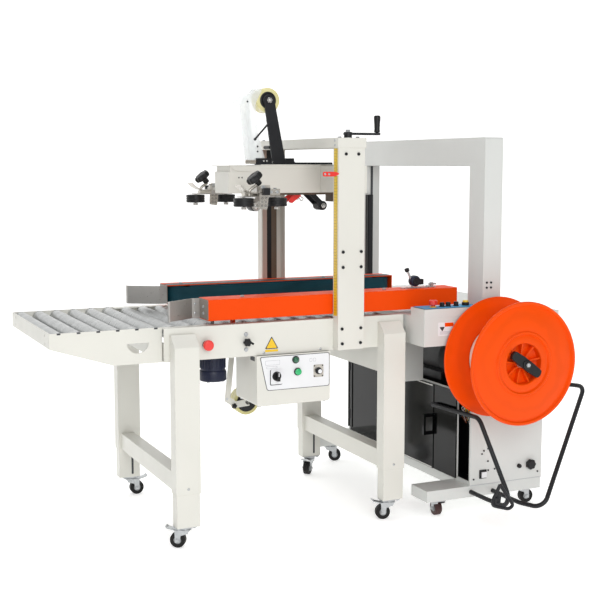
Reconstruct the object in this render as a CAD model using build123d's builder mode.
"""Carton closing line: a side-belt carton sealer with an infeed roller table, joined to an
arch strapping machine that carries its strap reel at the near end.

Lengths are millimetres.  +X is the way the cartons travel, +Y is away from the operator,
+Z is up and the casters stand on the plane Z = 0 of the finished model.  Positions are
counted from the line datum: the plane x = 0 near the first pair of legs, the outer face of
the near side frame (y = 0), and a level 11 mm below the floor (z = 0), from which the bed
is 750 high.  DATUM places that point so that the whole line stands centred on the origin.
"""
import os
from math import cos, radians, sin
from build123d import *

# ---- datum -----------------------------------------------------------------------------
FLOOR = 11.0
DATUM_X, DATUM_Y, DATUM_Z = -528.06, -253.56, -FLOOR

# ---- sealer: driving dimensions --------------------------------------------------------
BED_TOP = 750.0            # top of the side frames, the working height
BED_WIDTH = 640.0          # over the two side frames
FRAME_X0, FRAME_X1 = -58.0, 840.0
FRAME_BOTTOM = 638.0
SHEET = 4.0                # folded sheet of the frames
LEG_W, LEG_D = 86.0, 50.0
LEG_X = (-39.0, 735.0)     # left edge of each pair of legs
SLEEVE_BOTTOM = 198.0
TUBE_SOLE = 85.0
TUBE_BOTTOM = TUBE_SOLE + 6
BRACE_Z0, BRACE_Z1 = 199.0, 261.0

TABLE_X0 = -430.0          # free end of the infeed roller table
TABLE_Y0, TABLE_Y1 = 20.0, 620.0
TABLE_TOP = 752.0
ROLLER_R, BED_PITCH = 25.0, 65.0
ROLLER_Z = TABLE_TOP - ROLLER_R
INFEED_ROLLERS = 6
INFEED_X0, INFEED_PITCH = -399.0, 64.0
BED_ROLLERS = 13
BED_ROLLER_X0 = -15.0
SHAFT_R = 6.0

# ---- mast and head ---------------------------------------------------------------------
MAST_X0, MAST_X1 = 558.0, 659.0
MAST_D = 40.0
MAST_Z0, MAST_Z1 = 643.0, 1340.0
CROSSHEAD_TOP = 1374.0
HEAD_X0, HEAD_NOSE_X, HEAD_X1 = 269.0, 393.0, 700.0
HEAD_Y0, HEAD_Y1 = 253.0, 389.0
HEAD_Z0, HEAD_Z1 = 1181.0, 1282.0
NOSE_TOP = 1258.0
CARRIAGE_X = (628.0, 690.0)
HEAD_Y = (HEAD_Y0 + HEAD_Y1) / 2
SCREW_X, SCREW_Y, SCREW_R = 604.0, -18.0, 8.0
CRANK_ARM, CRANK_Z = 113.0, 1384.0
ROD_X, ROD_Z, ROD_R = 322.0, 1192.0, 8.0
ROD_Y0, ROD_Y1 = 44.0, 598.0
PRESS_OFFSET = 245.0       # press wheels each side of the head's centre line
PRESS_X = (256.0, 379.0)
PRESS_R, PRESS_Z0, PRESS_Z1 = 35.0, 1141.0, 1170.0
TAPE_X, TAPE_Z, TAPE_R, TAPE_W = 443.0, 1513.0, 45.0, 48.0
TAPE_ARM_BASE = (482.0, 1294.0)
STEP_X = 544.0             # the arm's foot is low from here on, clear of the crosshead

# ---- side belts ------------------------------------------------------------------------
NEAR_UNIT_X, FAR_UNIT_X = (100.0, 1068.0), (124.0, 1076.0)
BELT_Z0, BELT_Z1 = 765.0, 836.0
UNIT_DEPTH = 94.0
NEAR_UNIT_Y, FAR_UNIT_Y = 6.0, 604.0     # outer faces of the two covers
BELT_R, BELT_T = 35.0, 5.0
MOTOR_X, MOTOR_R = 147.5, 42.0
WIDTH_X, WIDTH_Z, WIDTH_R = 231.0, 688.0, 7.0

# ---- control box and lower tape roll ---------------------------------------------------
BOX_X0, BOX_X1 = 265.0, 541.0
BOX_Y0, BOX_Y1 = -12.0, 180.0
BOX_Z0 = 464.0
START_X, START_Z = 416.0, 575.0
SWITCH_X, SWITCH_Z = 337.0, 565.0
ESTOP_X, ESTOP_Z = 89.0, 688.0
LOWER_ROLL_X, LOWER_ROLL_Z, LOWER_ROLL_R = 350.0, 418.0, 49.0

# ---- strapping machine -----------------------------------------------------------------
FOOT_X0, FOOT_X1 = 868.0, 1357.0
FOOT_Y = ((-133.0, -22.0), (770.0, 880.0))
FOOT_Z1 = 126.0
CAB_X0, CAB_X1 = 1045.0, 1357.0
CAB_Y0, CAB_Y1 = -137.0, 825.0
CAB_Z1 = 648.0
DOOR_Y0, DOOR_Y1 = 112.0, 800.0
DOOR_Z0, DOOR_Z1 = 134.0, 459.0
PANEL_Y0 = -45.0           # near edge of the fixed panel beside the door
STABLE_X0, STABLE_X1 = 847.0, 1420.0
STABLE_Y0, STABLE_Y1 = -135.0, 880.0
ARCH_X0, ARCH_X1 = 1090.0, 1165.0
ARCH_NEAR = (-129.0, -32.0)
ARCH_FAR = (786.0, 886.0)
ARCH_Z0, ARCH_Z1 = 1279.0, 1379.0
CONSOLE_X1, CONSOLE_Y1, CONSOLE_TOP = 1085.0, -40.0, 780.0
STOP_X, STOP_Y = 905.0, -96.0
REEL_X, REEL_Z, REEL_R = 1136.0, 598.0, 217.0
REEL_Y0, REEL_Y1 = -325.0, -150.0
AXLE_R, CORE_R, COIL_R = 15.0, 76.0, 117.0
GUARD_R, GUARD_BEND = 8.0, 40.0
GUARD_Y = -382.0
GUARD_PATHS = (
    ((1026, 97, 385), (1026, -217, 396), (1065, GUARD_Y, 104), (1052, -230, 104),
     (1052, -133, 104)),
    ((1357, -126, 466), (1474, -126, 466), (1480, -220, 473), (1190, GUARD_Y, 94),
     (1146, -300, 98), (1146, -133, 98)),
)

# ---- casters ---------------------------------------------------------------------------
CASTER_TOP = 85.0
WHEEL_R, WHEEL_W, WHEEL_BORE = 26.5, 24.0, 5.0
TRAIL = 24.0
CASTERS = (  # swivel x, swivel y, heading in which the wheel trails (degrees from +X)
    (0.0, -20.0, 148), (775.0, -22.0, 165), (12.0, 667.0, 357), (778.0, 662.0, 225),
    (952.0, -80.0, 88), (1322.0, -52.0, 350), (940.0, 810.0, 335), (1322.0, 825.0, 20),
)
RUNNING = 0.05             # radial clearance of what turns on a pin
LOOSE = 0.3                # clearance of what slides past something


def front(y):
    """Sketch plane facing the far side at depth y: local axes are line X and Z."""
    return Plane(origin=(DATUM_X, DATUM_Y + y, DATUM_Z), x_dir=(1, 0, 0), z_dir=(0, -1, 0))


def side(x):
    """Sketch plane facing +X at x: local axes are line Y and Z."""
    return Plane(origin=(DATUM_X + x, DATUM_Y, DATUM_Z), x_dir=(0, 1, 0), z_dir=(1, 0, 0))


def level(z):
    """Sketch plane facing up at height z: local axes are line X and Y."""
    return Plane(origin=(DATUM_X, DATUM_Y, DATUM_Z + z), x_dir=(1, 0, 0), z_dir=(0, 0, 1))


def block(x, y, z, mode=Mode.ADD):
    """A rectangular block between the two ends given for each axis."""
    middle = (DATUM_X + sum(x) / 2, DATUM_Y + sum(y) / 2, DATUM_Z + sum(z) / 2)
    with Locations(middle):
        Box(x[1] - x[0], y[1] - y[0], z[1] - z[0], mode=mode)


def bar_y(x, z, radius, y, mode=Mode.ADD):
    """A round bar along Y between the two depths in y."""
    with BuildSketch(front(y[1])) as section:
        with Locations((x, z)):
            Circle(radius)
    extrude(section.sketch, amount=y[1] - y[0], mode=mode)


def bar_z(x, y, radius, z, mode=Mode.ADD):
    """A round bar along Z between the two heights in z."""
    with BuildSketch(level(z[0])) as section:
        with Locations((x, y)):
            Circle(radius)
    extrude(section.sketch, amount=z[1] - z[0], mode=mode)


os.makedirs("parts", exist_ok=True)

# ---- sealer bed ------------------------------------------------------------------------
with BuildPart() as side_frames:
    for outer, inward in ((0.0, 1), (BED_WIDTH, -1)):
        web = sorted((outer, outer + inward * SHEET))
        flange = sorted((outer, outer + inward * 40))
        block((FRAME_X0, FRAME_X1), web, (FRAME_BOTTOM, BED_TOP))
        block((FRAME_X0, FRAME_X1), flange, (BED_TOP - SHEET, BED_TOP))
        block((FRAME_X0, FRAME_X1), flange, (FRAME_BOTTOM, FRAME_BOTTOM + SHEET))
    bar_y(ESTOP_X, ESTOP_Z, 8 + LOOSE, (-1, SHEET + 1), Mode.SUBTRACT)
    bar_y(WIDTH_X, WIDTH_Z, WIDTH_R + LOOSE, (-1, SHEET + 1), Mode.SUBTRACT)
side_frames.part.label = "side_frames"
export_step(side_frames.part, "parts/side_frames.step")

INNER_Y = (SHEET, BED_WIDTH - SHEET)
with BuildPart() as bed_cross_plates:
    # end plates of the bed and the apron between the outfeed legs
    block((FRAME_X0 + 2, FRAME_X0 + 6), INNER_Y, (644, 700))
    block((FRAME_X1 - 6, FRAME_X1 - 2), INNER_Y, (644, 700))
    block((764, 768), INNER_Y, (540, FRAME_BOTTOM))
    # lower tape unit: two cartridge plates and the rail that carries them
    for y in (HEAD_Y - 40, HEAD_Y + 36):
        block((280, 510), (y, y + SHEET), (620, 744))
    block((300, 340), (HEAD_Y - 36, HEAD_Y + 36), (624, 634))
    block((450, 490), (HEAD_Y - 36, HEAD_Y + 36), (624, 634))
    block((380, 400), (SHEET, HEAD_Y - 40), (644, 664))
    block((380, 400), (HEAD_Y + 40, BED_WIDTH - SHEET), (644, 664))
    # bent strip that hangs the lower tape roll, with its fixed axle
    with BuildSketch(front(HEAD_Y - 36)):
        with BuildLine():
            Polyline((283, 640), (260, 428), (300, 400), (356, 404), (356, 432), (304, 424),
                     (282, 440), (303, 640), (283, 640))
        make_face()
    extrude(amount=SHEET)
    bar_y(LOWER_ROLL_X, LOWER_ROLL_Z, 8, (HEAD_Y - 36, HEAD_Y + 30))
bed_cross_plates.part.label = "bed_cross_plates"
export_step(bed_cross_plates.part, "parts/bed_cross_plates.step")


def roller_tube(x, y):
    """A thin-walled roller with a disc in each end, bored for its shaft, between depths y."""
    bar_y(x, ROLLER_Z, ROLLER_R, y)
    bar_y(x, ROLLER_Z, ROLLER_R - 2, (y[0] + 8, y[1] - 8), Mode.SUBTRACT)
    bar_y(x, ROLLER_Z, SHAFT_R + RUNNING, y, Mode.SUBTRACT)


def fixed_roller(x, y, shaft_y):
    """A roller of the sealer bed: an open tube, its middle disc and its through shaft."""
    middle = sum(y) / 2
    bar_y(x, ROLLER_Z, ROLLER_R, y)
    bar_y(x, ROLLER_Z, ROLLER_R - 2, (y[0], middle - 5), Mode.SUBTRACT)
    bar_y(x, ROLLER_Z, ROLLER_R - 2, (middle + 5, y[1]), Mode.SUBTRACT)
    bar_y(x, ROLLER_Z, SHAFT_R, shaft_y)


with BuildPart() as bed_rollers:
    for index in range(BED_ROLLERS):
        x = BED_ROLLER_X0 + index * BED_PITCH
        if 270 < x < 520:      # two short rollers, one each side of the lower tape unit
            fixed_roller(x, (42, 278), (SHEET, HEAD_Y - 40))
            fixed_roller(x, (364, 598), (HEAD_Y + 40, BED_WIDTH - SHEET))
        else:
            fixed_roller(x, (42, 598), INNER_Y)
bed_rollers.part.label = "bed_rollers"
export_step(bed_rollers.part, "parts/bed_rollers.step")

# ---- legs ------------------------------------------------------------------------------
with BuildPart() as leg_frames:
    for x in LEG_X:
        for face, outward in ((0.0, -1), (BED_WIDTH, 1)):
            far = face + outward * LEG_D
            with BuildSketch(side(x)):
                with BuildLine():
                    Polyline((face, SLEEVE_BOTTOM), (far, SLEEVE_BOTTOM), (far, 690),
                             (face + outward * 12, 728), (face, 728), (face, SLEEVE_BOTTOM))
                make_face()
            extrude(amount=LEG_W)
            hollow = sorted((face + outward * 3, far - outward * 3))
            block((x + 3, x + LEG_W - 3), hollow, (SLEEVE_BOTTOM, 600), Mode.SUBTRACT)
        block((x + 11, x + 61), (0, BED_WIDTH), (BRACE_Z0, BRACE_Z1))
        block((x + 14, x + 58), (1, BED_WIDTH - 1), (BRACE_Z0, BRACE_Z1 - 3), Mode.SUBTRACT)
leg_frames.part.label = "leg_frames"
export_step(leg_frames.part, "parts/leg_frames.step")

with BuildPart() as leg_tubes:
    for x in LEG_X:
        for face, outward in ((0.0, -1), (BED_WIDTH, 1)):
            wall = sorted((face + outward * 3, face + outward * (LEG_D - 3)))
            hole = (wall[0] + 3, wall[1] - 3)
            block((x + 3, x + LEG_W - 3), wall, (TUBE_BOTTOM, 420))
            block((x + 6, x + LEG_W - 6), hole, (TUBE_BOTTOM, 420), Mode.SUBTRACT)
            block((x + 3, x + LEG_W - 3), wall, (TUBE_SOLE, TUBE_BOTTOM))
leg_tubes.part.label = "leg_tubes"
export_step(leg_tubes.part, "parts/leg_tubes.step")

# ---- infeed roller table ---------------------------------------------------------------
TABLE_X1 = FRAME_X0
with BuildPart() as infeed_table_frame:
    for y in (TABLE_Y0, TABLE_Y1 - SHEET):
        with BuildSketch(front(y + SHEET)):
            with BuildLine():
                Polyline((TABLE_X0, TABLE_TOP), (TABLE_X1, TABLE_TOP), (TABLE_X1, 636),
                         (-222, 636), (TABLE_X0, 702), (TABLE_X0, TABLE_TOP))
            make_face()
            with BuildLine():
                Line((-177, 704), (-103, 704))
                ThreePointArc((-103, 704), (-140, 671), (-177, 704))
            make_face(mode=Mode.SUBTRACT)
        extrude(amount=SHEET)
    across = (TABLE_Y0 + SHEET, TABLE_Y1 - SHEET)
    block((TABLE_X0, TABLE_X0 + SHEET), across, (702, TABLE_TOP))
    block((TABLE_X1 - SHEET, TABLE_X1), across, (640, 698))
    for index in range(INFEED_ROLLERS):
        bar_y(INFEED_X0 + index * INFEED_PITCH, ROLLER_Z, SHAFT_R, across)
    # four holes in the end plate, for joining the next conveyor
    with BuildSketch(side(TABLE_X0)):
        with Locations(((TABLE_Y0 + TABLE_Y1) / 2, 727)):
            with GridLocations(480, 26, 2, 2):
                Circle(4.5)
    extrude(amount=SHEET, mode=Mode.SUBTRACT)
infeed_table_frame.part.label = "infeed_table_frame"
export_step(infeed_table_frame.part, "parts/infeed_table_frame.step")

for index in range(INFEED_ROLLERS):
    with BuildPart() as roller:
        roller_tube(INFEED_X0 + index * INFEED_PITCH, (TABLE_Y0 + 6, TABLE_Y1 - 6))
    roller.part.label = f"infeed_roller_{index + 1}"
    export_step(roller.part, f"parts/infeed_roller_{index + 1}.step")

# ---- mast ------------------------------------------------------------------------------
with BuildPart() as mast_columns:
    for face, outward in ((0.0, -1), (BED_WIDTH, 1)):
        depth = sorted((face, face + outward * MAST_D))
        hollow = sorted((face, face + outward * (MAST_D - SHEET)))
        block((MAST_X0, MAST_X1), depth, (MAST_Z0, MAST_Z1))
        block((MAST_X0 + SHEET, MAST_X1 - SHEET), hollow, (MAST_Z0, MAST_Z1), Mode.SUBTRACT)
mast_columns.part.label = "mast_columns"
export_step(mast_columns.part, "parts/mast_columns.step")

with BuildPart() as mast_crosshead:
    beam_y = (-MAST_D - 3, BED_WIDTH + MAST_D + 3)
    block((MAST_X0 - 4, MAST_X1 + 4), beam_y, (MAST_Z1, CROSSHEAD_TOP))
    for span in ((beam_y[0] + 3, -3), (3, BED_WIDTH - 3), (BED_WIDTH + 3, beam_y[1] - 3)):
        block((MAST_X0, MAST_X1), span, (MAST_Z1, CROSSHEAD_TOP - 3), Mode.SUBTRACT)
    block((SCREW_X - 25, SCREW_X + 25), (SCREW_Y - 18, SCREW_Y + 15),
          (CROSSHEAD_TOP - 12, CROSSHEAD_TOP - 3))
    bar_z(SCREW_X, SCREW_Y, SCREW_R + LOOSE, (MAST_Z1, CROSSHEAD_TOP), Mode.SUBTRACT)
mast_crosshead.part.label = "mast_crosshead"
export_step(mast_crosshead.part, "parts/mast_crosshead.step")

# ---- head that rides in the mast -------------------------------------------------------
with BuildPart() as head_beam:
    block((HEAD_NOSE_X, HEAD_X1), (HEAD_Y0, HEAD_Y1), (HEAD_Z0, HEAD_Z1))
    block((HEAD_NOSE_X + 3, HEAD_X1 - 3), (HEAD_Y0 + 3, HEAD_Y1 - 3),
          (HEAD_Z0, HEAD_Z1 - 3), Mode.SUBTRACT)
    block((HEAD_X0, HEAD_NOSE_X), (HEAD_Y0, HEAD_Y1), (HEAD_Z0, NOSE_TOP))
    block((HEAD_X0 + 3, HEAD_NOSE_X), (HEAD_Y0 + 3, HEAD_Y1 - 3),
          (HEAD_Z0, NOSE_TOP - 3), Mode.SUBTRACT)
    # carriage across the mast: a channel each side, with a slide block in each column
    for channel in ((2, HEAD_Y0 + 3), (HEAD_Y1 - 3, BED_WIDTH - 2)):
        block(CARRIAGE_X, channel, (HEAD_Z0 + 3, HEAD_Z1 - 3))
        block((CARRIAGE_X[0] + 3, CARRIAGE_X[1] - 3), (channel[0] + 3, channel[1] - 3),
              (HEAD_Z0 + 3, HEAD_Z1 - 6), Mode.SUBTRACT)
    for slide in ((-32, 3), (BED_WIDTH - 3, BED_WIDTH + 32)):
        block((MAST_X0 + 8, MAST_X1 - 8), slide, (1196, 1266))
    bar_z(SCREW_X, SCREW_Y, SCREW_R + LOOSE, (1190, 1270), Mode.SUBTRACT)
    # round rod on which the press wheel carriers slide
    bar_y(ROD_X, ROD_Z, ROD_R, (ROD_Y0, ROD_Y1))
head_beam.part.label = "head_beam"
export_step(head_beam.part, "parts/head_beam.step")

with BuildPart() as tape_arm:
    block((HEAD_NOSE_X, STEP_X), (HEAD_Y - 24, HEAD_Y - 10), (HEAD_Z1, HEAD_Z1 + 24))
    block((STEP_X, HEAD_X1), (HEAD_Y - 24, HEAD_Y - 10), (HEAD_Z1, HEAD_Z1 + 8))
    with BuildSketch(front(HEAD_Y - 24)):
        with BuildLine():
            Polyline((TAPE_ARM_BASE[0] - 26, HEAD_Z1 + 4), (TAPE_ARM_BASE[0] + 26, HEAD_Z1 + 4),
                     (TAPE_X + 20, TAPE_Z), (TAPE_X - 20, TAPE_Z),
                     (TAPE_ARM_BASE[0] - 26, HEAD_Z1 + 4))
        make_face()
        with Locations((TAPE_X, TAPE_Z)):
            Circle(20)
    extrude(amount=8)
    bar_y(TAPE_X, TAPE_Z, 8, (HEAD_Y - 32, HEAD_Y + 36))
tape_arm.part.label = "tape_arm"
export_step(tape_arm.part, "parts/tape_arm.step")

for label, x, z, radius, near in (
    ("top_tape_roll", TAPE_X, TAPE_Z, TAPE_R, HEAD_Y - 18),
    ("lower_tape_roll", LOWER_ROLL_X, LOWER_ROLL_Z, LOWER_ROLL_R, HEAD_Y - 28),
):
    with BuildPart() as tape_roll:
        bar_y(x, z, radius, (near, near + TAPE_W))
        bar_y(x, z, 8 + RUNNING, (near, near + TAPE_W), Mode.SUBTRACT)
    tape_roll.part.label = label
    export_step(tape_roll.part, f"parts/{label}.step")

PLATE_Y = (HEAD_Y - 36, HEAD_Y + 36)       # outer faces of the cartridge plates
PLATE_BOTTOM = HEAD_Z0 - 8
FRONT_PIVOT, REAR_PIVOT = (452.0, 1188.0), (600.0, 1188.0)
FRONT_ROLLER, REAR_ROLLER = (392.0, 1132.0), (660.0, 1132.0)
with BuildPart() as tape_cartridge:
    for y in (PLATE_Y[0], PLATE_Y[1] - 3):
        block((HEAD_NOSE_X + 20, HEAD_X1 - 20), (y, y + 3), (PLATE_BOTTOM, 1240))
    block((500, 540), (PLATE_Y[0] + 3, PLATE_Y[1] - 3), (1222, 1232))
    block((500, 540), (HEAD_Y - 20, HEAD_Y + 20), (1232, HEAD_Z1 - 3))
    for pivot in (FRONT_PIVOT, REAR_PIVOT):
        bar_y(pivot[0], pivot[1], 5, (PLATE_Y[0] + 3, PLATE_Y[1] - 3))
tape_cartridge.part.label = "tape_cartridge"
export_step(tape_cartridge.part, "parts/tape_cartridge.step")

for label, pivot, roller_at in (
    ("front_roller_arm", FRONT_PIVOT, FRONT_ROLLER),
    ("rear_roller_arm", REAR_PIVOT, REAR_ROLLER),
):
    with BuildPart() as roller_arm:
        for y in (PLATE_Y[0] + 5, PLATE_Y[1] - 9):
            with BuildSketch(front(y + 4)):
                middle = ((pivot[0] + roller_at[0]) / 2, (pivot[1] + roller_at[1]) / 2)
                SlotCenterPoint(middle, pivot, 18)
            extrude(amount=4)
        bar_y(roller_at[0], roller_at[1], 16, (PLATE_Y[0] + 9, PLATE_Y[1] - 9))
        bar_y(pivot[0], pivot[1], 5 + RUNNING, PLATE_Y, Mode.SUBTRACT)
    roller_arm.part.label = label
    export_step(roller_arm.part, f"parts/{label}.step")

for label, outward in (("near", -1), ("far", 1)):
    wheel_y = HEAD_Y + outward * PRESS_OFFSET
    block_y = sorted((wheel_y - outward * 6, wheel_y - outward * 36))
    plate_y = sorted((wheel_y + outward * 10, wheel_y - outward * 36))
    with BuildPart() as press_carrier:
        block((ROD_X - 15, ROD_X + 15), block_y, (1172, ROD_Z + 18))
        bar_y(ROD_X, ROD_Z, ROD_R + RUNNING, (block_y[0] - 1, block_y[1] + 1), Mode.SUBTRACT)
        block((PRESS_X[0] - 12, PRESS_X[1] + 12), plate_y, (1172, 1175))
        for x in PRESS_X:
            bar_z(x, wheel_y, 5, (1131, 1172))
            bar_z(x, wheel_y, 9, (1131, PRESS_Z0 - 2))
    press_carrier.part.label = f"{label}_press_carrier"
    export_step(press_carrier.part, f"parts/{label}_press_carrier.step")
    for index, x in enumerate(PRESS_X):
        with BuildPart() as press_wheel:
            bar_z(x, wheel_y, PRESS_R, (PRESS_Z0, PRESS_Z1))
            bar_z(x, wheel_y, 5 + RUNNING, (PRESS_Z0, PRESS_Z1), Mode.SUBTRACT)
        press_wheel.part.label = f"{label}_press_wheel_{index + 1}"
        export_step(press_wheel.part, f"parts/{label}_press_wheel_{index + 1}.step")

# ---- crank that raises the head --------------------------------------------------------
with BuildPart() as lift_crank:
    bar_z(SCREW_X, SCREW_Y, SCREW_R, (760, CRANK_Z))
    bar_z(SCREW_X, SCREW_Y, 14, (CROSSHEAD_TOP + 1, CRANK_Z + 10))
    block((SCREW_X, SCREW_X + CRANK_ARM), (SCREW_Y - 7, SCREW_Y + 7), (CRANK_Z, CRANK_Z + 8))
    bar_z(SCREW_X + CRANK_ARM, SCREW_Y, 9, (CRANK_Z, CRANK_Z + 8))
    bar_z(SCREW_X + CRANK_ARM, SCREW_Y, 4, (CRANK_Z + 8, CRANK_Z + 66))
lift_crank.part.label = "lift_crank"
export_step(lift_crank.part, "parts/lift_crank.step")

with BuildPart() as crank_grip:
    bar_z(SCREW_X + CRANK_ARM, SCREW_Y, 10.5, (CRANK_Z + 9, CRANK_Z + 68))
    bar_z(SCREW_X + CRANK_ARM, SCREW_Y, 4 + RUNNING, (CRANK_Z + 9, CRANK_Z + 67), Mode.SUBTRACT)
crank_grip.part.label = "crank_grip"
export_step(crank_grip.part, "parts/crank_grip.step")

# ---- side belt units -------------------------------------------------------------------
NUT_X = (208.5, 245.0)
TIE_X = (208.5, 216.5)
for label, (x0, x1), outer, inward in (
    ("near", NEAR_UNIT_X, NEAR_UNIT_Y, 1), ("far", FAR_UNIT_X, FAR_UNIT_Y, -1),
):

    def across(a, b):
        """Depths a and b counted inwards from the unit's outer face."""
        return sorted((outer + inward * a, outer + inward * b))

    with BuildPart() as belt_cover:
        block((x0, x1), across(0, UNIT_DEPTH), (BELT_Z0, BELT_Z1))
        block((x0 + 3, x1 - 3), across(3, UNIT_DEPTH), (BELT_Z0 + 3, BELT_Z1 - 3),
              Mode.SUBTRACT)
        # the belt comes out through the infeed end
        block((x0 - 1, x0 + 4), across(20, UNIT_DEPTH + 1), (BELT_Z0 + 3, BELT_Z1 - 3),
              Mode.SUBTRACT)
        # tie plate between two rollers down to the nut on the width screw
        block(TIE_X, across(54, 84), (690, BELT_Z0))
        block(NUT_X, across(54, 84), (674, 700))
        bar_y(WIDTH_X, WIDTH_Z, WIDTH_R + LOOSE, across(50, 90), Mode.SUBTRACT)
    belt_cover.part.label = f"{label}_belt_cover"
    export_step(belt_cover.part, f"parts/{label}_belt_cover.step")

    pulley_y = outer + inward * (UNIT_DEPTH + 10 - BELT_R - BELT_T)
    pulley_x = (x0 + 44, x1 - 50)
    with BuildPart() as side_belt:
        with BuildSketch(level(BELT_Z0 + 8)):
            with Locations((sum(pulley_x) / 2, pulley_y)):
                SlotCenterToCenter(pulley_x[1] - pulley_x[0], 2 * (BELT_R + BELT_T))
                SlotCenterToCenter(pulley_x[1] - pulley_x[0], 2 * BELT_R, mode=Mode.SUBTRACT)
        extrude(amount=BELT_Z1 - BELT_Z0 - 16)
        for x in pulley_x:
            bar_z(x, pulley_y, BELT_R - LOOSE, (BELT_Z0 + 4, BELT_Z1 - 4))
        block((pulley_x[0] + 42, pulley_x[1] - 42), (pulley_y - BELT_R, pulley_y + BELT_R),
              (BELT_Z0 + 3, BELT_Z1 - 3))
    side_belt.part.label = f"{label}_belt"
    export_step(side_belt.part, f"parts/{label}_belt.step")

    with BuildPart() as belt_guide:
        with BuildSketch(level(BELT_Z0 + 2)):
            with BuildLine():
                Polyline((x0 - 1.5, across(84, 84)[0]), (x0 - 30, across(84, 84)[0]),
                         (x0 - 134, across(20, 20)[0]), (x0 - 134, across(4, 4)[0]))
                offset(amount=1.5, kind=Kind.INTERSECTION)
            make_face()
        extrude(amount=BELT_Z1 - BELT_Z0 - 4)
    belt_guide.part.label = f"{label}_guide"
    export_step(belt_guide.part, f"parts/{label}_guide.step")

MOTOR_Y = NEAR_UNIT_Y + UNIT_DEPTH + 10 - BELT_R - BELT_T + 30
with BuildPart() as belt_motor:
    bar_z(MOTOR_X, MOTOR_Y, 6, (690, BELT_Z0))
    bar_z(MOTOR_X, MOTOR_Y, MOTOR_R, (572, 696))
    bar_z(MOTOR_X, MOTOR_Y, 47, (546, 584))
belt_motor.part.label = "belt_motor"
export_step(belt_motor.part, "parts/belt_motor.step")

with BuildPart() as width_screw:
    bar_y(WIDTH_X, WIDTH_Z, WIDTH_R, (-6, BED_WIDTH - SHEET - 1))
    bar_y(WIDTH_X, WIDTH_Z, 11, (-16, -1))
    with BuildSketch(front(-10)):
        with Locations((WIDTH_X, WIDTH_Z)):
            Rectangle(9, 9)
    extrude(amount=6, mode=Mode.SUBTRACT)
width_screw.part.label = "width_screw"
export_step(width_screw.part, "parts/width_screw.step")

# ---- control box and buttons -----------------------------------------------------------
with BuildPart() as control_box:
    block((BOX_X0, BOX_X1), (BOX_Y0, BOX_Y1), (BOX_Z0, FRAME_BOTTOM))
    fillet(control_box.edges().filter_by(Axis.Y).group_by(Axis.Z)[0], 10)
    block((BOX_X0 + 3, BOX_X1 - 3), (BOX_Y0 + 3, BOX_Y1 - 3), (BOX_Z0 + 3, FRAME_BOTTOM),
          Mode.SUBTRACT)
    bar_y(START_X, START_Z, 7 + LOOSE, (BOX_Y0 - 1, BOX_Y0 + 4), Mode.SUBTRACT)
    bar_y(SWITCH_X, SWITCH_Z, 6 + LOOSE, (BOX_Y0 - 1, BOX_Y0 + 4), Mode.SUBTRACT)
control_box.part.label = "control_box"
export_step(control_box.part, "parts/control_box.step")

with BuildPart() as start_button:
    bar_y(START_X, START_Z, 11, (BOX_Y0 - 12, BOX_Y0 - 5))
    bar_y(START_X, START_Z, 7, (BOX_Y0 - 5, BOX_Y0 + 14))
start_button.part.label = "start_button"
export_step(start_button.part, "parts/start_button.step")

with BuildPart() as main_switch:
    bar_y(SWITCH_X, SWITCH_Z, 15, (BOX_Y0 - 8, BOX_Y0 - 1))
    block((SWITCH_X - 5, SWITCH_X + 5), (BOX_Y0 - 24, BOX_Y0 - 8),
          (SWITCH_Z - 15, SWITCH_Z + 15))
    bar_y(SWITCH_X, SWITCH_Z, 6, (BOX_Y0 - 1, BOX_Y0 + 14))
main_switch.part.label = "main_switch"
export_step(main_switch.part, "parts/main_switch.step")

with BuildPart() as stop_button:
    bar_y(ESTOP_X, ESTOP_Z, 18, (-28, -16))
    bar_y(ESTOP_X, ESTOP_Z, 8, (-16, SHEET + 14))
    fillet(stop_button.edges().filter_by(GeomType.CIRCLE).sort_by(Axis.Y)[0], 5)
stop_button.part.label = "stop_button"
export_step(stop_button.part, "parts/stop_button.step")

# ---- strapping machine -----------------------------------------------------------------
with BuildPart() as strap_base:
    for depth in FOOT_Y:
        block((FOOT_X0, FOOT_X1), depth, (CASTER_TOP, FOOT_Z1))
        block((FOOT_X0 + 4, FOOT_X1 - 4), (depth[0] + 4, depth[1] - 4),
              (CASTER_TOP + 6, FOOT_Z1 - 4), Mode.SUBTRACT)
        block((CAB_X0 + 100, CAB_X0 + 130), (depth[0] + 4, depth[1] - 4),
              (CASTER_TOP, FOOT_Z1), Mode.SUBTRACT)
    for x in (CAB_X0 + 5, CAB_X1 - 45):
        block((x, x + 40), (FOOT_Y[0][1], FOOT_Y[1][0]), (CASTER_TOP + 11, FOOT_Z1))
strap_base.part.label = "strap_base"
export_step(strap_base.part, "parts/strap_base.step")

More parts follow.
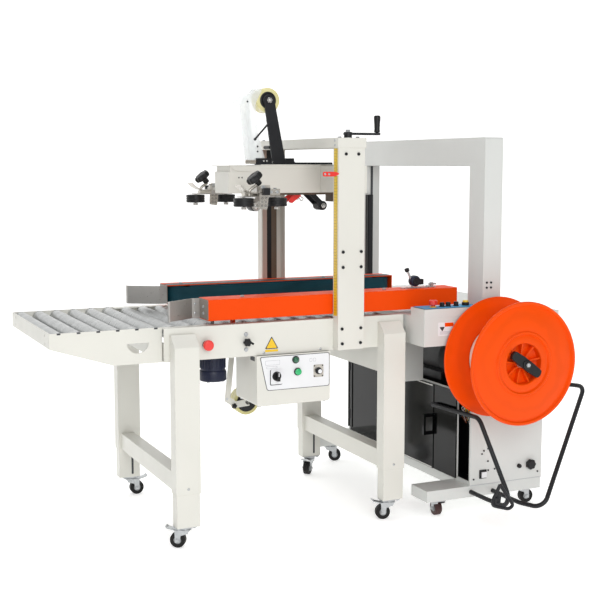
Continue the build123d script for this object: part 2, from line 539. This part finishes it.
with BuildPart() as strap_cabinet:
    block((CAB_X0, CAB_X1), (CAB_Y0, CAB_Y1), (FOOT_Z1, CAB_Z1))
    block((CAB_X0 + 4, CAB_X1 - 4), (CAB_Y0 + 4, CAB_Y1 - 4), (FOOT_Z1 + 4, CAB_Z1),
          Mode.SUBTRACT)
    # door opening and the open bay above it, in the face towards the sealer
    block((CAB_X0 - 1, CAB_X0 + 5), (DOOR_Y0 + 12, DOOR_Y1 - 4), (DOOR_Z0 + 8, DOOR_Z1 - 12),
          Mode.SUBTRACT)
    block((CAB_X0 - 1, CAB_X0 + 5), (CAB_Y0 + 30, DOOR_Y1 - 4), (DOOR_Z1 + 6, CAB_Z1 - 10),
          Mode.SUBTRACT)
    # tall opening beside the near corner, where the wiring is reached
    block((CAB_X0 - 1, CAB_X0 + 5), (CAB_Y0 + 9, PANEL_Y0 - 5), (DOOR_Z0 + 8, CAB_Z1 - 10),
          Mode.SUBTRACT)
    bar_y(REEL_X, REEL_Z, AXLE_R, (REEL_Y0 + 12, CAB_Y0 + 4))
    bar_y(REEL_X, REEL_Z, 38, (CAB_Y0 - 10, CAB_Y0))
strap_cabinet.part.label = "strap_cabinet"
export_step(strap_cabinet.part, "parts/strap_cabinet.step")

HINGE_Y = DOOR_Y1 + 8
with BuildPart() as cabinet_door:
    block((CAB_X0 - 7, CAB_X0 - 1), (DOOR_Y0, DOOR_Y1), (DOOR_Z0, DOOR_Z1))
    block((CAB_X0 - 10, CAB_X0 - 7), (DOOR_Y1 - 20, HINGE_Y), (DOOR_Z0 + 20, DOOR_Z1 - 20))
    bar_z(CAB_X0 - 10, HINGE_Y, 4, (DOOR_Z0 + 20, DOOR_Z1 - 20))
    block((CAB_X0 - 26, CAB_X0 - 7), (DOOR_Y0 + 24, DOOR_Y0 + 34), (260, 272))
    block((CAB_X0 - 26, CAB_X0 - 7), (DOOR_Y0 + 24, DOOR_Y0 + 34), (328, 340))
    block((CAB_X0 - 34, CAB_X0 - 26), (DOOR_Y0 + 22, DOOR_Y0 + 36), (260, 340))
cabinet_door.part.label = "cabinet_door"
export_step(cabinet_door.part, "parts/cabinet_door.step")

with BuildPart() as strap_table:
    block((STABLE_X0, STABLE_X1), (STABLE_Y0, STABLE_Y1), (CAB_Z1, BED_TOP))
    block((STABLE_X0 + 4, STABLE_X1 - 4), (STABLE_Y0 + 4, STABLE_Y1 - 4),
          (CAB_Z1, BED_TOP - 4), Mode.SUBTRACT)
    # slot in the table top through which the strap track runs
    block((ARCH_X0 + 26, ARCH_X1 - 26), (40, 700), (BED_TOP - 5, BED_TOP + 1), Mode.SUBTRACT)
    # sheet that closes the back of the bay beside the cabinet
    block((STABLE_X0 + 60, CAB_X0), (203, 206), (DOOR_Z1, BED_TOP - 4))
    # four holes in the outfeed end, for joining the next conveyor
    with BuildSketch(side(STABLE_X1 - 4)):
        with Locations(((STABLE_Y0 + STABLE_Y1) / 2, 700)):
            with GridLocations(800, 60, 2, 2):
                Circle(4.5)
    extrude(amount=4, mode=Mode.SUBTRACT)
strap_table.part.label = "strap_table"
export_step(strap_table.part, "parts/strap_table.step")

with BuildPart() as strap_arch:
    block((ARCH_X0, ARCH_X1), (ARCH_NEAR[0], ARCH_FAR[1]), (BED_TOP, ARCH_Z1))
    fillet(strap_arch.edges().filter_by(Axis.X).group_by(Axis.Z)[-1], 10)
    block((ARCH_X0 - 1, ARCH_X1 + 1), (ARCH_NEAR[1], ARCH_FAR[0]), (BED_TOP, ARCH_Z0),
          Mode.SUBTRACT)
    # strap track: a deep groove round the inside of the arch
    block((ARCH_X0 + 6, ARCH_X1 - 6), (ARCH_NEAR[0] + 6, ARCH_FAR[1] - 6),
          (BED_TOP, ARCH_Z1 - 6), Mode.SUBTRACT)
strap_arch.part.label = "strap_arch"
export_step(strap_arch.part, "parts/strap_arch.step")

with BuildPart() as control_console:
    block((STABLE_X0, CONSOLE_X1), (STABLE_Y0, CONSOLE_Y1), (BED_TOP, CONSOLE_TOP))
    block((STABLE_X0 + 3, CONSOLE_X1 - 3), (STABLE_Y0 + 3, CONSOLE_Y1 - 3),
          (BED_TOP, CONSOLE_TOP - 3), Mode.SUBTRACT)
    bar_z(STOP_X, STOP_Y, 7 + LOOSE, (CONSOLE_TOP - 4, CONSOLE_TOP + 1), Mode.SUBTRACT)
control_console.part.label = "control_console"
export_step(control_console.part, "parts/control_console.step")

with BuildPart() as console_stop:
    bar_z(STOP_X, STOP_Y, 7, (CONSOLE_TOP - 14, CONSOLE_TOP + 12))
    bar_z(STOP_X, STOP_Y, 15, (CONSOLE_TOP + 12, CONSOLE_TOP + 28))
    fillet(console_stop.edges().filter_by(GeomType.CIRCLE).sort_by(Axis.Z)[-1], 4)
console_stop.part.label = "console_stop"
export_step(console_stop.part, "parts/console_stop.step")

# ---- strap reel ------------------------------------------------------------------------
with BuildPart() as strap_reel:
    bar_y(REEL_X, REEL_Z, CORE_R, (REEL_Y0 + 6, REEL_Y1 - 6))
    for outer_y, inner_y in ((REEL_Y0, REEL_Y0 + 6), (REEL_Y1, REEL_Y1 - 6)):
        bar_y(REEL_X, REEL_Z, REEL_R, sorted((outer_y, inner_y)))
    bar_y(REEL_X, REEL_Z, CORE_R - 5, (REEL_Y0, REEL_Y0 + 30), Mode.SUBTRACT)
    bar_y(REEL_X, REEL_Z, AXLE_R + RUNNING, (REEL_Y0, REEL_Y1), Mode.SUBTRACT)
strap_reel.part.label = "strap_reel"
export_step(strap_reel.part, "parts/strap_reel.step")

with BuildPart() as strap_coil:
    bar_y(REEL_X, REEL_Z, COIL_R, (REEL_Y0 + 6, REEL_Y1 - 6))
    bar_y(REEL_X, REEL_Z, CORE_R, (REEL_Y0 + 6, REEL_Y1 - 6), Mode.SUBTRACT)
strap_coil.part.label = "strap_coil"
export_step(strap_coil.part, "parts/strap_coil.step")

with BuildPart() as guard_tubes:
    for route in GUARD_PATHS:
        points = [(DATUM_X + x, DATUM_Y + y, DATUM_Z + z) for x, y, z in route]
        start, towards = Vector(*points[0]), Vector(*points[1])
        with BuildLine() as path:
            FilletPolyline(*points, radius=GUARD_BEND)
        with BuildSketch(Plane(origin=start, z_dir=towards - start)):
            Circle(GUARD_R)
        sweep(path=path.wires()[0])
    block((1022, CAB_X0), (80, 97), (377, 393))
guard_tubes.part.label = "guard_tubes"
export_step(guard_tubes.part, "parts/guard_tubes.step")

# ---- casters ---------------------------------------------------------------------------
FORK_INNER = WHEEL_W / 2 + 2
AXLE_Z = FLOOR + WHEEL_R


def caster_plane(x, y, heading, reach):
    """Upright plane through a caster, reach to the left of its middle: local axes are the
    distance behind the swivel and the line height."""
    out = (cos(radians(heading)), sin(radians(heading)), 0)
    left = (-out[1], out[0], 0)
    origin = (DATUM_X + x + left[0] * reach, DATUM_Y + y + left[1] * reach, DATUM_Z)
    return Plane(origin=origin, x_dir=out, z_dir=(-left[0], -left[1], 0))


with BuildPart() as caster_forks:
    for x, y, heading in CASTERS:
        block((x - 34, x + 34), (y - 22, y + 22), (CASTER_TOP - 4, CASTER_TOP))
        bar_z(x, y, 17, (CASTER_TOP - 12, CASTER_TOP - 4))
        with BuildSketch(caster_plane(x, y, heading, FORK_INNER + 3)):
            with BuildLine():
                Polyline((-17, 73), (TRAIL + 10, 73), (TRAIL + 10, 70), (-17, 70), (-17, 73))
            make_face()
        extrude(amount=2 * FORK_INNER + 6)
        for reach in (-FORK_INNER, FORK_INNER + 3):
            with BuildSketch(caster_plane(x, y, heading, reach)):
                with BuildLine():
                    Polyline((-15, 71), (-13, 62), (TRAIL - 12, 54), (TRAIL - 8, AXLE_Z - 7),
                             (TRAIL + 8, AXLE_Z - 7), (TRAIL + 8, 54), (TRAIL + 9, 71),
                             (-15, 71))
                make_face()
            extrude(amount=3)
        with BuildSketch(caster_plane(x, y, heading, FORK_INNER + 6)):
            with Locations((TRAIL, AXLE_Z)):
                Circle(WHEEL_BORE)
        extrude(amount=2 * FORK_INNER + 12)
caster_forks.part.label = "caster_forks"
export_step(caster_forks.part, "parts/caster_forks.step")

for index, (x, y, heading) in enumerate(CASTERS):
    with BuildPart() as caster_wheel:
        with BuildSketch(caster_plane(x, y, heading, WHEEL_W / 2)):
            with Locations((TRAIL, AXLE_Z)):
                Circle(WHEEL_R)
        extrude(amount=WHEEL_W)
        fillet(caster_wheel.edges().filter_by(GeomType.CIRCLE), 3)
        with BuildSketch(caster_plane(x, y, heading, WHEEL_W / 2)):
            with Locations((TRAIL, AXLE_Z)):
                Circle(WHEEL_BORE + RUNNING)
        extrude(amount=WHEEL_W, mode=Mode.SUBTRACT)
    caster_wheel.part.label = f"caster_wheel_{index + 1}"
    export_step(caster_wheel.part, f"parts/caster_wheel_{index + 1}.step")
